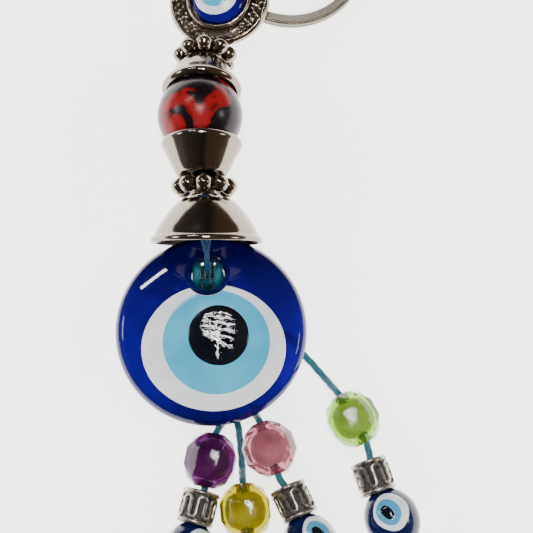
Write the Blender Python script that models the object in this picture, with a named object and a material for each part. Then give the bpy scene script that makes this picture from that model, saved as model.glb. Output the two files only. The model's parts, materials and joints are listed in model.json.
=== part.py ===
"""Evil eye key ornament: a glass eye under a rod of beads and caps, a split ring above, tassels below.

The ornament lies on its back on a table. +Y runs up the rod towards the split ring, +X is to the
right of someone looking at the glass eye, +Z is up off the table. Lengths below are in millimetres
and angles in degrees. Places are measured from the middle of the glass disc until the last step.
"""
import math

import bmesh
import bpy
from mathutils import Euler, Matrix, Vector

MM = 0.001
GAP = 0.3  # left between pieces that touch
DISC_PLACE = (-10.165, -17.46, 0.0)  # the disc's middle, from a point under the middle of the whole ornament

# glass disc and the layers let into its front
DISC_R = 17.8
DISC_BACK, DISC_EDGE, DISC_TOP = 1.8, 5.2, 9.7
DISC_FLAT_R = 13.0
HOLE_AT = (-0.7, 10.7)
HOLE_R, HOLE_MOUTH_R = 3.1, 4.4
# each layer: middle x, y, half width, half height, floor of its pocket, how far it stands proud
EYE_WHITE = (0.6, -3.7, 13.6, 11.9, 6.0, 0.0)
EYE_LIGHT_BLUE = (1.1, -2.8, 10.2, 9.9, 7.0, 0.15)
EYE_PUPIL = (1.5, -1.6, 5.8, 5.8, 8.0, 0.3)

# rod: x, y, z of each piece and its pitch, positive where its axis dips towards +Y
BELL_AT, BELL_PITCH = (-0.8, 15.5, 10.4), -9.5
BELL_R, BELL_H = 10.35, 8.2
LOWER_SPACER_AT, LOWER_SPACER_PITCH = (-1.2, 25.9, 11.3), -3
CONE_AT, CONE_PITCH = (-1.8, 34.5, 10.6), 4
CONE_R, CONE_NECK_R, CONE_H = 7.55, 4.3, 6.55
UPPER_CAP_H = 5.9
RED_AT, RED_PITCH = (-2.2, 40.1, 9.9), 12
RED_R = 8.0
UPPER_CAP_AT, UPPER_CAP_PITCH = (-2.0, 45.5, 8.45), 16
UPPER_SPACER_AT, UPPER_SPACER_PITCH = (-1.5, 53.1, 6.25), 18
SPACER_BALLS, SPACER_R, BALL_R = 9, 4.6, 1.55
SPACER_HALF = 1.2
CAP_WALL = 0.6
BORE_R = 1.3
KNOT_AT, KNOT_R = (-0.9, 20.6, 10.7), 1.6
LOOP_CORD_R = 0.5

# pendant, jump ring and split ring
PENDANT_AT, PENDANT_PITCH, PENDANT_ROLL = (1.1, 64.5, 6.5), 3, 8
PENDANT_R, PENDANT_EYE_R = 9.8, 5.1
PENDANT_BACK, PENDANT_FRONT = -1.2, 1.4
EYELET_R, EYELET_WIRE_R = 1.6, 0.55
JUMP_R, JUMP_WIRE_R = 2.6, 0.5
JUMP_AT = (1.2, 75.2, 3.2)
RING_AT = (15.0, 76.0)
RING_R, RING_WIDTH = 15.0, 2.0
COIL_THICK, COIL_RISE = 1.0, 1.1
RING_LEAN = 2.6
RING_LIFT = 0.75  # height of the ring's lower face at its middle

# tassels: where each cord starts under the hole, its bends on the way, the faceted bead's place and
# heading, then the distance and heading on to the tube and from there to the eye bead
TASSELS = {
    "violet": {
        "route": [(-3.1, 9.4), (-1.9, 2.2), (0.4, -7.0), (2.0, -13.2), (2.2, -16.3)],
        "bead": (0.0, -24.1, -101), "tube": (8.8, -104), "eye": (8.4, -101)},
    "yellow": {
        "route": [(-1.4, 8.8), (0.2, 1.2), (2.7, -8.0), (4.4, -14.5), (5.2, -18.5), (5.6, -22.5),
                  (5.8, -25.2)],
        "bead": (6.5, -33.2, -84), "tube": (8.8, -84), "eye": (8.4, -85)},
    "pink": {
        "route": [(0.3, 8.8), (2.1, 1.8), (5.2, -7.2), (7.3, -12.8), (8.1, -14.9)],
        "bead": (10.8, -21.9, -71), "tube": (10.6, -65), "eye": (8.4, -68)},
    "green": {
        "route": [(2.0, 9.4), (6.8, 4.9), (13.5, -0.6), (17.5, -4.1), (20.6, -7.6)],
        "bead": (26.2, -16.5, -62), "tube": (11.1, -71), "eye": (8.4, -67)},
}
CORD_R, CORD_LOW, BEAD_Z = 0.7, 0.78, 5.1
CORD_BORE_R = 1.1
FACET_R, FACET_HALF = 4.85, 5.1
CORE_R = 2.9
TUBE_R, TUBE_HALF, TUBE_MOUTH_R, TUBE_END = 3.35, 3.1, 2.75, 0.8
EYE_BEAD_R, EYE_BEAD_HALF = 5.0, 5.8
END_KNOT_R = 1.25

COLOURS = {
    "metal": ((0.30, 0.28, 0.25), 0.15, 1.0),
    "cobalt": ((0.01, 0.02, 0.35), 0.08, 0.0),
    "white": ((0.75, 0.76, 0.78), 0.15, 0.0),
    "light_blue": ((0.10, 0.45, 0.62), 0.15, 0.0),
    "black": ((0.01, 0.01, 0.015), 0.1, 0.0),
    "navy": ((0.01, 0.02, 0.12), 0.12, 0.0),
    "red": ((0.40, 0.02, 0.01), 0.1, 0.0),
    "blue_cord": ((0.03, 0.13, 0.28), 0.7, 0.0),
    "teal_cord": ((0.01, 0.22, 0.28), 0.6, 0.0),
    "violet": ((0.16, 0.01, 0.20), 0.15, 0.0),
    "yellow": ((0.55, 0.48, 0.02), 0.15, 0.0),
    "pink": ((0.65, 0.18, 0.28), 0.15, 0.0),
    "green": ((0.30, 0.55, 0.05), 0.15, 0.0),
    "milky": ((0.65, 0.62, 0.60), 0.4, 0.0),
}


def clear_scene():
    for item in list(bpy.data.objects):
        bpy.data.objects.remove(item)


def material(name):
    found = bpy.data.materials.get(name)
    if found:
        return found
    colour, roughness, metallic = COLOURS[name]
    made = bpy.data.materials.new(name)
    made.use_nodes = True
    shader = made.node_tree.nodes["Principled BSDF"]
    shader.inputs["Base Color"].default_value = (*colour, 1)
    shader.inputs["Roughness"].default_value = roughness
    shader.inputs["Metallic"].default_value = metallic
    return made


def add_object(name, bm, colour, smooth=True):
    """Make a named object from bmesh geometry given in millimetres."""
    bmesh.ops.recalc_face_normals(bm, faces=bm.faces)
    bmesh.ops.scale(bm, vec=(MM, MM, MM), verts=bm.verts)
    mesh = bpy.data.meshes.new(name)
    bm.to_mesh(mesh)
    bm.free()
    if smooth:
        mesh.shade_smooth()
        mesh.set_sharp_from_angle(angle=math.radians(35))
    mesh.materials.append(material(colour))
    item = bpy.data.objects.new(name, mesh)
    bpy.context.collection.objects.link(item)
    return item


def place(item, at, pitch=0.0, heading=90.0):
    """Put an object whose own axis is +Z with that axis along a heading in plan, dipping by pitch."""
    turn = Euler((0, math.radians(90 + pitch), math.radians(heading))).to_matrix()
    item.rotation_euler = turn.to_euler()
    item.location = Vector(at) * MM
    return item


def arc(middle, radii, start, end, steps):
    """Points (radius, height) along an ellipse's arc, angles from the radial direction."""
    turns = [math.radians(start + (end - start) * i / steps) for i in range(steps + 1)]
    return [(middle[0] + radii[0] * math.cos(t), middle[1] + radii[1] * math.sin(t)) for t in turns]


def ring_vertices(bm, radius, height, segments, outline=None):
    if radius < 1e-6:
        return [bm.verts.new((0, 0, height))]
    ring = []
    for i in range(segments):
        turn = 2 * math.pi * i / segments
        reach = radius * (outline(turn) if outline else 1.0)
        ring.append(bm.verts.new((reach * math.cos(turn), reach * math.sin(turn), height)))
    return ring


def join_rings(bm, lower, upper):
    count = max(len(lower), len(upper))
    for i in range(count):
        j = (i + 1) % count
        corners = [lower[i % len(lower)], lower[j % len(lower)], upper[j % len(upper)], upper[i % len(upper)]]
        bm.faces.new(list(dict.fromkeys(corners)))


def lathe(profile, segments, closed=False, outline=None):
    """Turn a profile of (radius, height) about +Z; a closed profile goes round a bore."""
    bm = bmesh.new()
    outlines = outline or [None] * len(profile)
    rings = [ring_vertices(bm, r, h, segments, o) for (r, h), o in zip(profile, outlines)]
    pairs = list(zip(rings, rings[1:]))
    if closed:
        pairs.append((rings[-1], rings[0]))
    for lower, upper in pairs:
        join_rings(bm, lower, upper)
    return bm


def torus(ring_radius, wire_radius, segments=24, sides=8):
    return lathe(arc((ring_radius, 0), (wire_radius, wire_radius), 0, 360, sides)[:-1], segments, closed=True)


def cutter(name, bm):
    item = add_object(name, bm, "black", smooth=False)
    item.hide_render = True
    item.display_type = "WIRE"
    return item


def combine(item, other, operation):
    step = item.modifiers.new(other.name, "BOOLEAN")
    step.operation = operation
    step.object = other
    step.solver = "EXACT"


def smooth_route(points, spacing):
    """Points about one spacing apart along a Catmull-Rom curve through the route's points."""
    route = [Vector(p) for p in points]
    route = [2 * route[0] - route[1], *route, 2 * route[-1] - route[-2]]
    found = []
    for a, b, c, d in zip(route, route[1:], route[2:], route[3:]):
        steps = max(1, round((c - b).length / spacing))
        for i in range(steps):
            t = i / steps
            found.append(0.5 * (2 * b + (c - a) * t + (2 * a - 5 * b + 4 * c - d) * t * t
                                + (3 * b - a - 3 * c + d) * t ** 3))
    found.append(route[-2])
    return found


def cord(name, points, radius, colour, spacing=None):
    """A plain round cord along a smooth route."""
    curve = bpy.data.curves.new(name, "CURVE")
    curve.dimensions = "3D"
    curve.bevel_depth = radius * MM
    curve.bevel_resolution = 2
    curve.use_fill_caps = True
    route = smooth_route(points, spacing or radius * 5)
    spline = curve.splines.new("POLY")
    spline.points.add(len(route) - 1)
    for point, at in zip(spline.points, route):
        point.co = (*(at * MM), 1)
    curve.materials.append(material(colour))
    item = bpy.data.objects.new(name, curve)
    bpy.context.collection.objects.link(item)
    return item


# ---- glass disc ----

def dome_profile(proud=0.0):
    """The disc's front from its middle to its edge."""
    shoulder = arc((DISC_R - 3.0, DISC_EDGE), (3.0, 2.2), 60, 0, 4)
    top = DISC_TOP + proud
    rise = top - shoulder[0][1] - proud
    edge = shoulder[0][0]
    front = [(edge * i / 5, top - rise * (i / 5) ** 2) for i in range(5)]
    return front + [(r, h + proud * (h > DISC_EDGE)) for r, h in shoulder]


def ellipse_prism(x, y, half_width, half_height, low, high, segments=40):
    bm = bmesh.new()
    ends = []
    for height in (low, high):
        turns = [2 * math.pi * i / segments for i in range(segments)]
        ends.append([bm.verts.new((x + half_width * math.cos(t), y + half_height * math.sin(t), height))
                     for t in turns])
    join_rings(bm, *ends)
    for end in ends:
        bm.faces.new(end)
    return bm


def hole_cutter(name, grow):
    profile = [(0, -2), (HOLE_R + grow, -2), (HOLE_R + grow, 6.5), (HOLE_MOUTH_R + grow, 9.0),
               (HOLE_MOUTH_R + grow, 13), (0, 13)]
    item = cutter(name, lathe(profile, 28))
    item.location = Vector((*HOLE_AT, 0)) * MM
    return item


def make_disc():
    back = arc((DISC_FLAT_R, DISC_EDGE), (DISC_R - DISC_FLAT_R, DISC_EDGE - DISC_BACK), 0, -90, 6)
    profile = dome_profile() + back[1:] + [(0, DISC_BACK)]
    disc = add_object("glass_disc", lathe(profile, 52), "cobalt")
    combine(disc, hole_cutter("hole_cutter", 0), "DIFFERENCE")
    layer_hole = hole_cutter("layer_hole_cutter", GAP)
    below = disc
    layers = (("eye_white", "white", EYE_WHITE), ("eye_light_blue", "light_blue", EYE_LIGHT_BLUE),
              ("eye_pupil", "black", EYE_PUPIL))
    for name, colour, (x, y, half_width, half_height, floor, proud) in layers:
        pocket = ellipse_prism(x, y, half_width, half_height, floor, 13)
        combine(below, cutter(name + "_pocket", pocket), "DIFFERENCE")
        slab = ellipse_prism(x, y, half_width - GAP, half_height - GAP, floor + GAP, 14)
        layer = add_object(name, slab, colour)
        dome = dome_profile(proud)
        front = cutter(name + "_front", lathe([*dome, (DISC_R, 0), (0, 0)], 48))
        combine(layer, front, "INTERSECT")
        if name != "eye_pupil":
            combine(layer, layer_hole, "DIFFERENCE")
        below = layer


def make_bights():
    """The folds of the two tassel cords inside the disc's hole, either side of the hanging loop."""
    x, y = HOLE_AT
    for name, side in (("tassel_fold_left", -1), ("tassel_fold_right", 1)):
        route = [(x + side * 2.0, y - 0.9, 2.0), (x + side * 2.05, y - 1.2, 4.2),
                 (x + side * 1.9, y - 0.3, 6.4), (x + side * 1.9, y + 1.0, 5.0), (x + side * 2.0, y + 1.3, 3.0)]
        cord(name, route, CORD_R * 0.85, "teal_cord", spacing=1.2)


# ---- rod ----

def cap_profile(outer, inner):
    return [*outer, (BORE_R, outer[-1][1]), (BORE_R, inner[0][1]), *inner]


def make_bell():
    outer = [(BELL_R - 0.1, 0), (BELL_R, 0.5), *arc((3.2, -0.6), (6.6, 8.6), 20, 74, 4), (4.5, BELL_H)]
    inner = [(4.3, BELL_H - CAP_WALL), *arc((3.0, -1.0), (6.2, 8.4), 72, 14, 3), (BELL_R - CAP_WALL, 0)]
    bell = add_object("bell_cap", lathe(cap_profile(outer, inner), 30, closed=True), "metal")
    place(bell, BELL_AT, BELL_PITCH)


def make_spacer(name, at, pitch):
    """A ring of balls about a short sleeve."""
    rise = math.radians(36)
    ball = arc((0, 0), (BALL_R, BALL_R), 90, -90, 5)
    web_r = SPACER_R - BALL_R * math.cos(rise) * 0.4
    sleeve = [(BORE_R, -SPACER_HALF), (2.3, -SPACER_HALF), (2.7, -0.7), (web_r, -0.7), (web_r, 0.7),
              (2.7, 0.7), (2.3, SPACER_HALF), (BORE_R, SPACER_HALF)]
    spacer = add_object(name, lathe(sleeve, 18, closed=True), "metal")
    balls = bmesh.new()
    for i in range(SPACER_BALLS):
        turn = 2 * math.pi * (i + 0.25) / SPACER_BALLS
        one = lathe(ball, 8)
        where = (SPACER_R * math.cos(turn), SPACER_R * math.sin(turn), 0)
        bmesh.ops.translate(one, vec=where, verts=one.verts)
        mesh = bpy.data.meshes.new("ball")
        one.to_mesh(mesh)
        one.free()
        balls.from_mesh(mesh)
        bpy.data.meshes.remove(mesh)
    ring = cutter(name + "_balls", balls)
    combine(spacer, ring, "UNION")
    for item in (spacer, ring):
        place(item, at, pitch)


def make_cone(name, height, at, pitch, heading):
    """A cone cap that opens along its axis; its rim rolls in to carry the red bead."""
    outer = [(CONE_NECK_R, -height), (4.7, -height + 0.4), (CONE_R - 0.15, -0.9), (CONE_R, -0.3),
             (CONE_R - 0.2, 0.3), (7.0, 0.7)]
    inner = [(6.65, 0.5), (6.75, -0.6), (4.1, -height + CAP_WALL + 0.2), (3.6, -height + CAP_WALL)]
    profile = [(BORE_R, -height), *outer, *inner, (BORE_R, -height + CAP_WALL)]
    place(add_object(name, lathe(profile, 28, closed=True), "metal"), at, pitch, heading)


def make_red_bead():
    half = math.sqrt(RED_R ** 2 - BORE_R ** 2)
    edge = math.degrees(math.atan2(half, BORE_R))
    profile = arc((0, 0), (RED_R, RED_R), -edge, edge, 10)
    place(add_object("red_bead", lathe(profile, 28, closed=True), "red"), RED_AT, RED_PITCH)


def make_rod_cords():
    route = [(-0.85, 22.6, 11.35), (-0.9, 23.6, 11.65), (-1.2, 25.9, 11.3), (-1.6, 28.6, 11.1),
             (-1.9, 32.6, 11.3), (-2.2, 40.1, 9.95), (-2.05, 47.6, 8.2), (-1.85, 50.6, 7.1), (-1.5, 53.1, 6.25), (-1.45, 53.9, 6.0)]
    cord("stringing_cord", route, CORD_R, "blue_cord")
    knot = add_object("rod_knot", lathe(arc((0, 0), (KNOT_R, KNOT_R), -90, 90, 6), 10), "blue_cord")
    knot.location = Vector(KNOT_AT) * MM
    x, y = HOLE_AT
    front = [(-0.95, 17.8, 10.1), (-0.9, 15.8, 9.9), (-0.8, 14.0, 9.6), (x, 12.6, 8.9), (x, 11.7, 7.6)]
    back = [(x, 10.9, 5.4), (x, 11.1, 3.0), (x, 12.2, 1.3), (x, 13.8, 0.9), (-0.75, 15.4, 1.15),
            (-0.8, 16.7, 1.8), (-0.8, 18.1, 3.0), (-0.85, 19.5, 5.4), (-0.9, 20.3, 7.6), (-0.9, 20.5, 8.5)]
    cord("hanging_loop", front + back, LOOP_CORD_R, "blue_cord", spacing=1.2)


# ---- pendant and rings ----

def pendant_outline(turn):
    """A circle blunted on the side of the rod."""
    down = max(0.0, -math.sin(turn))
    return 1.0 - 0.04 * down ** 6


def make_pendant():
    seat = PENDANT_EYE_R + GAP
    profile = [(0, PENDANT_BACK), (PENDANT_R - 1.6, PENDANT_BACK), (PENDANT_R - 0.3, PENDANT_BACK + 0.8),
               (PENDANT_R, 0.1), (PENDANT_R - 0.3, 0.9), (PENDANT_R - 1.0, 1.1), (seat + 1.3, PENDANT_FRONT),
               (seat + 0.7, 1.9), (seat + 0.1, 1.9), (seat, 0.3), (0, 0.3)]
    shapes = [pendant_outline if r > seat + 2 else None for r, _ in profile]
    frame = add_object("pendant_frame", lathe(profile, 36, outline=shapes), "metal")
    eyelet = cutter("pendant_eyelet", torus(EYELET_R, EYELET_WIRE_R, 16, 6))
    combine(frame, eyelet, "UNION")
    glass = [(0, 0.6), (PENDANT_EYE_R, 0.6), (PENDANT_EYE_R, 1.3)]
    glass += [(PENDANT_EYE_R * math.cos(a), 1.3 + 1.9 * math.sin(a)) for a in
              (math.radians(t) for t in (18, 36, 54, 72))] + [(0, 3.2)]
    eye = add_object("pendant_eye", lathe(glass, 24), "navy")
    tilt = Matrix.Rotation(math.radians(-PENDANT_PITCH), 4, "X") @ Matrix.Rotation(
        math.radians(-PENDANT_ROLL), 4, "Y")
    where = Matrix.Translation(Vector(PENDANT_AT) * MM) @ tilt
    frame.matrix_world = where
    eye.matrix_world = where
    lie = Matrix.Rotation(math.radians(90), 4, "Y")
    at = Vector((JUMP_AT[0], JUMP_AT[1], JUMP_AT[2] + JUMP_R + 0.35)) * MM
    eyelet.matrix_world = Matrix.Translation(at) @ lie


def make_jump_ring():
    ring = add_object("jump_ring", torus(JUMP_R, JUMP_WIRE_R, 24, 6), "metal")
    ring.rotation_euler = (math.radians(90), 0, 0)
    ring.location = Vector(JUMP_AT) * MM


def make_split_ring():
    """Flat wire wound twice round, stepping up from the first turn to the second."""
    per_turn, start, step_turn = 48, 191.0, 4
    bm = bmesh.new()
    sections = []
    for i in range(2 * per_turn - step_turn + 1):
        turn = math.radians(start + 360.0 * i / per_turn)
        climb = min(1.0, max(0.0, (i - (per_turn - step_turn)) / step_turn))
        low = climb * COIL_RISE
        corners = ((RING_R - RING_WIDTH, low), (RING_R, low), (RING_R, low + COIL_THICK),
                   (RING_R - RING_WIDTH, low + COIL_THICK))
        sections.append([bm.verts.new((r * math.cos(turn), r * math.sin(turn), h)) for r, h in corners])
    for a, b in zip(sections, sections[1:]):
        join_rings(bm, a, b)
    bm.faces.new(sections[0])
    bm.faces.new(sections[-1])
    ring = add_object("split_ring", bm, "metal", smooth=False)
    ring.rotation_euler = (0, math.radians(RING_LEAN), 0)
    ring.location = Vector((*RING_AT, RING_LIFT)) * MM


# ---- tassels ----

def heading(degrees):
    return Vector((math.cos(math.radians(degrees)), math.sin(math.radians(degrees)), 0))


def ball_profile(radius, half, bore, steps):
    edge = math.degrees(math.asin(math.sqrt(1 - (bore / radius) ** 2)))
    return arc((0, 0), (radius, half), -edge, edge, steps)


def make_tassel(name, spec):
    bead = Vector((spec["bead"][0], spec["bead"][1], BEAD_Z))
    way = spec["bead"][2]
    tube = bead + spec["tube"][0] * heading(spec["tube"][1])
    eye = tube + spec["eye"][0] * heading(spec["eye"][1])
    tube_way, eye_way = spec["tube"][1], spec["eye"][1]

    shell = ball_profile(FACET_R, FACET_HALF, 1.6, 6)
    cavity = arc((0, 0), (CORE_R + GAP, CORE_R + GAP), 70, -70, 6)
    shell_bm = lathe(shell + cavity, 12, closed=True)
    place(add_object(name + "_bead_shell", shell_bm, name, smooth=False), bead, 0, way)
    core = lathe(ball_profile(CORE_R, CORE_R, CORD_BORE_R, 5), 12, closed=True)
    place(add_object(name + "_bead_core", core, "milky"), bead, 0, way)

    rim = 0.9
    outer = [(TUBE_R - 0.3, -TUBE_HALF), (TUBE_R, -TUBE_HALF + 0.3), (TUBE_R, -TUBE_HALF + rim),
             (TUBE_R - 0.25, -TUBE_HALF + rim + 0.1), (TUBE_R - 0.25, TUBE_HALF - rim - 0.1),
             (TUBE_R, TUBE_HALF - rim), (TUBE_R, TUBE_HALF - 0.3), (TUBE_R - 0.3, TUBE_HALF)]
    tube_bm = lathe([*outer, (TUBE_MOUTH_R, TUBE_HALF), (TUBE_MOUTH_R, -TUBE_HALF + TUBE_END),
                     (BORE_R, -TUBE_HALF + TUBE_END), (BORE_R, -TUBE_HALF)], 16, closed=True)
    place(add_object(name + "_tube_bead", tube_bm, "metal"), tube, 0, tube_way)
    eye_bm = lathe(ball_profile(EYE_BEAD_R, EYE_BEAD_HALF, CORD_BORE_R, 7), 18, closed=True)
    place(add_object(name + "_eye_bead", eye_bm, "navy"), eye, 0, eye_way)

    knot_at = eye + (EYE_BEAD_HALF + GAP + END_KNOT_R) * heading(eye_way)
    knot_bm = lathe(arc((0, 0), (END_KNOT_R, END_KNOT_R), -90, 90, 5), 8)
    place(add_object(name + "_end_knot", knot_bm, "teal_cord"), knot_at, 0, eye_way)

    entry = bead - FACET_HALF * heading(way)
    laid = [Vector((x, y, CORD_LOW)) for x, y in spec["route"]]
    last = laid[-1]
    last.z += 0.15
    climb = last.lerp(entry, 0.5)
    climb.z = CORD_LOW + 0.45 * (BEAD_Z - CORD_LOW)
    split = bead + (FACET_HALF - 0.9) * heading(way)
    strand = [*laid, climb, entry + 0.6 * heading(way), bead, split]
    cord(name + "_cord", strand, CORD_R, "teal_cord", spacing=2.1)
    tip_start = split + 0.5 * heading(way)
    hinge = bead + (FACET_HALF + 0.3) * heading(way)
    tip_end = knot_at - (END_KNOT_R + GAP) * heading(eye_way)
    cord(name + "_tip_cord", [tip_start, hinge, tube, eye, tip_end], CORD_R, "teal_cord", spacing=2.8)


def move_all():
    """Put the middle of the whole ornament over the origin."""
    middle = bpy.data.objects.new("ornament", None)
    bpy.context.collection.objects.link(middle)
    for item in bpy.data.objects:
        if item is not middle:
            item.parent = middle
    middle.location = Vector(DISC_PLACE) * MM


clear_scene()
make_disc()
make_bights()
make_bell()
make_spacer("lower_spacer", LOWER_SPACER_AT, LOWER_SPACER_PITCH)
make_cone("cone_cap", CONE_H, CONE_AT, CONE_PITCH, 90)
make_red_bead()
make_cone("upper_cap", UPPER_CAP_H, UPPER_CAP_AT, -UPPER_CAP_PITCH, -90)
make_spacer("upper_spacer", UPPER_SPACER_AT, UPPER_SPACER_PITCH)
make_rod_cords()
make_pendant()
make_jump_ring()
make_split_ring()
for tassel, tassel_spec in TASSELS.items():
    make_tassel(tassel, tassel_spec)
move_all()
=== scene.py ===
"""Evil eye key ornament: the detailed pieces, materials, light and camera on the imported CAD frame.

Lengths in the tables below are millimetres and places are measured from the middle of the glass
disc, as in the CAD source, and become metres as each piece is put in place.
"""
import json
import math
import random

import bmesh
import bpy
from mathutils import Matrix, Vector, noise


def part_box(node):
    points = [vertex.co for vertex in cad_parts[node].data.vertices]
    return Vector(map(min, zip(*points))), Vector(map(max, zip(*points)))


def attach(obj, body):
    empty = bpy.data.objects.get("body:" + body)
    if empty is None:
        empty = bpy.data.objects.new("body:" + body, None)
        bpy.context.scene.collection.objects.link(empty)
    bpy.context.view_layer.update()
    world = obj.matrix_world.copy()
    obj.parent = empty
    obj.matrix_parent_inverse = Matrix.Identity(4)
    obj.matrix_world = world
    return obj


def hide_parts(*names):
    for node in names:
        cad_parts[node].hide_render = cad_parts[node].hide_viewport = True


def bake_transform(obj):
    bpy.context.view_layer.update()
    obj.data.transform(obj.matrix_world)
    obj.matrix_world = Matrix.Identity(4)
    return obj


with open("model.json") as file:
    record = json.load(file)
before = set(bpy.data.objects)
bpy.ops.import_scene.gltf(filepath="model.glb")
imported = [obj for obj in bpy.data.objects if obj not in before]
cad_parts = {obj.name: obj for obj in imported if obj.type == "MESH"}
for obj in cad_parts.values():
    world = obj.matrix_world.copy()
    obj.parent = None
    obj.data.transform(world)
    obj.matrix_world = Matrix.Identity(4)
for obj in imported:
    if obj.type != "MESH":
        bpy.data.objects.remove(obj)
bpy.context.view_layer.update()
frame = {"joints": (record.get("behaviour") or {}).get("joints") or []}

MM = 0.001
JOINTS = {joint["name"]: joint for joint in frame["joints"]}
disc_low, disc_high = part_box("glass_disc")
DISC = Vector(((disc_low.x + disc_high.x) / 2, (disc_low.y + disc_high.y) / 2, 0))


def at(x, y, z):
    """A place given in millimetres from the middle of the disc, in metres in the row frame."""
    return DISC + Vector((x, y, z)) * MM


# ---- camera ----

CAMERA_AWAY = 0.3  # metres
CAMERA_TILT = math.radians(12)  # off straight down
target = at(10.3, 12.2, 5)
camera = bpy.data.objects.new("camera", bpy.data.cameras.new("camera"))
camera.data.sensor_width = 36
camera.data.lens = 108
away = Vector((0, -math.sin(CAMERA_TILT), math.cos(CAMERA_TILT)))
camera.location = target + CAMERA_AWAY * away
camera.rotation_euler = away.to_track_quat("Z", "Y").to_euler()
camera.data.clip_start = 0.01
bpy.context.collection.objects.link(camera)
bpy.context.scene.camera = camera


# ---- materials ----

def ramp(tree, source, stops):
    node = tree.nodes.new("ShaderNodeValToRGB")
    while len(node.color_ramp.elements) < len(stops):
        node.color_ramp.elements.new(0.5)
    for element, (place, colour) in zip(node.color_ramp.elements, stops):
        element.position = place
        element.color = (*colour, 1) if len(colour) == 3 else colour
    tree.links.new(source, node.inputs["Fac"])
    return node.outputs["Color"]


def grey(value):
    return (value, value, value)


def noise_texture(tree, scale, detail=3.0, roughness=0.5, distortion=0.0):
    where = tree.nodes.new("ShaderNodeTexCoord")
    node = tree.nodes.new("ShaderNodeTexNoise")
    node.inputs["Scale"].default_value = scale
    node.inputs["Detail"].default_value = detail
    node.inputs["Roughness"].default_value = roughness
    node.inputs["Distortion"].default_value = distortion
    tree.links.new(where.outputs["Object"], node.inputs["Vector"])
    return node.outputs["Fac"]


def bump(tree, shader, source, strength, distance):
    node = tree.nodes.new("ShaderNodeBump")
    node.inputs["Strength"].default_value = strength
    node.inputs["Distance"].default_value = distance * MM
    tree.links.new(source, node.inputs["Height"])
    tree.links.new(node.outputs["Normal"], shader.inputs["Normal"])


def new_material(name, **settings):
    """A principled material whose constants sit on the shader's own sockets."""
    made = bpy.data.materials.new(name)
    made.use_nodes = True
    shader = made.node_tree.nodes["Principled BSDF"]
    for key, value in settings.items():
        socket = shader.inputs[key.replace("_", " ")]
        socket.default_value = (*value, 1) if isinstance(value, tuple) and len(value) == 3 else value
    return made, made.node_tree, shader


def grained(name, dark, pale, scale, rough, relief=(0.1, 0.05), band=(0.35, 0.65), **settings):
    """Colour and roughness that wander between two values, with a fine relief."""
    made, tree, shader = new_material(name, **settings)
    spread = noise_texture(tree, scale, 4)
    tree.links.new(ramp(tree, spread, [(band[0], dark), (band[1], pale)]), shader.inputs["Base Color"])
    roughness = ramp(tree, spread, [(band[0], grey(rough[0])), (band[1], grey(rough[1]))])
    tree.links.new(roughness, shader.inputs["Roughness"])
    bump(tree, shader, noise_texture(tree, scale * 3, 3), *relief)
    return made


def polished(name, dark, pale, rough):
    return grained(name, dark, pale, 4200, rough, (0.12, 0.012), (0.38, 0.56), Metallic=1.0)


def red_marble():
    made, tree, shader = new_material("red_marble", Coat_Weight=0.0, Specular_IOR_Level=0.32, IOR=1.45)
    large = noise_texture(tree, 150, 2.5, 0.55, 0.9)
    fine = noise_texture(tree, 620, 4, 0.6)
    patches = ramp(tree, large, [(0.46, (0.20, 0.005, 0.006)), (0.505, (0.10, 0.003, 0.004)),
                                 (0.53, (0.006, 0.003, 0.004)), (0.8, (0.004, 0.003, 0.004))])
    specks = ramp(tree, fine, [(0.30, (0.25, 0.2, 0.2)), (0.42, (1, 1, 1))])
    tree.links.new(multiply(tree, patches, specks), shader.inputs["Base Color"])
    tree.links.new(ramp(tree, fine, [(0.3, grey(0.30)), (0.7, grey(0.17))]), shader.inputs["Roughness"])
    bump(tree, shader, noise_texture(tree, 2400, 3), 0.3, 0.03)
    return made


def clear_acrylic(name, colour, deep, transmission):
    """Clear coloured acrylic with a little swirl in its colour."""
    made, tree, shader = new_material(name, Transmission_Weight=transmission, IOR=1.49,
                                      Specular_IOR_Level=0.4)
    swirl = noise_texture(tree, 220, 3, 0.5, 0.6)
    tree.links.new(ramp(tree, swirl, [(0.3, deep), (0.7, colour)]), shader.inputs["Base Color"])
    tree.links.new(ramp(tree, swirl, [(0.3, grey(0.07)), (0.7, grey(0.112))]), shader.inputs["Roughness"])
    bump(tree, shader, noise_texture(tree, 374, 2), 0.04, 0.05)
    return made


def waxed_cord(name, dark, pale):
    made, tree, shader = new_material(name, Sheen_Weight=0.05, Sheen_Roughness=0.4, Coat_Weight=0.15,
                                      Coat_Roughness=0.35)
    strands = noise_texture(tree, 2600, 3, 0.6)
    tree.links.new(ramp(tree, strands, [(0.3, dark), (0.7, pale)]), shader.inputs["Base Color"])
    tree.links.new(ramp(tree, strands, [(0.3, grey(0.62)), (0.7, grey(0.42))]), shader.inputs["Roughness"])
    bump(tree, shader, strands, 0.35, 0.05)
    return made


def multiply(tree, first, second):
    mix = tree.nodes.new("ShaderNodeMix")
    mix.data_type = "RGBA"
    mix.blend_type = "MULTIPLY"
    mix.inputs["Factor"].default_value = 1.0
    tree.links.new(first, mix.inputs["A"])
    tree.links.new(second, mix.inputs["B"])
    return mix.outputs["Result"]


def along_y(tree, low, high):
    """0 to 1 from low to high, in millimetres along the piece's own Y."""
    where = tree.nodes.new("ShaderNodeTexCoord")
    split = tree.nodes.new("ShaderNodeSeparateXYZ")
    spread = tree.nodes.new("ShaderNodeMapRange")
    spread.inputs["From Min"].default_value = low * MM
    spread.inputs["From Max"].default_value = high * MM
    tree.links.new(where.outputs["Object"], split.inputs["Vector"])
    tree.links.new(split.outputs["Y"], spread.inputs["Value"])
    return spread.outputs["Result"]


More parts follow.
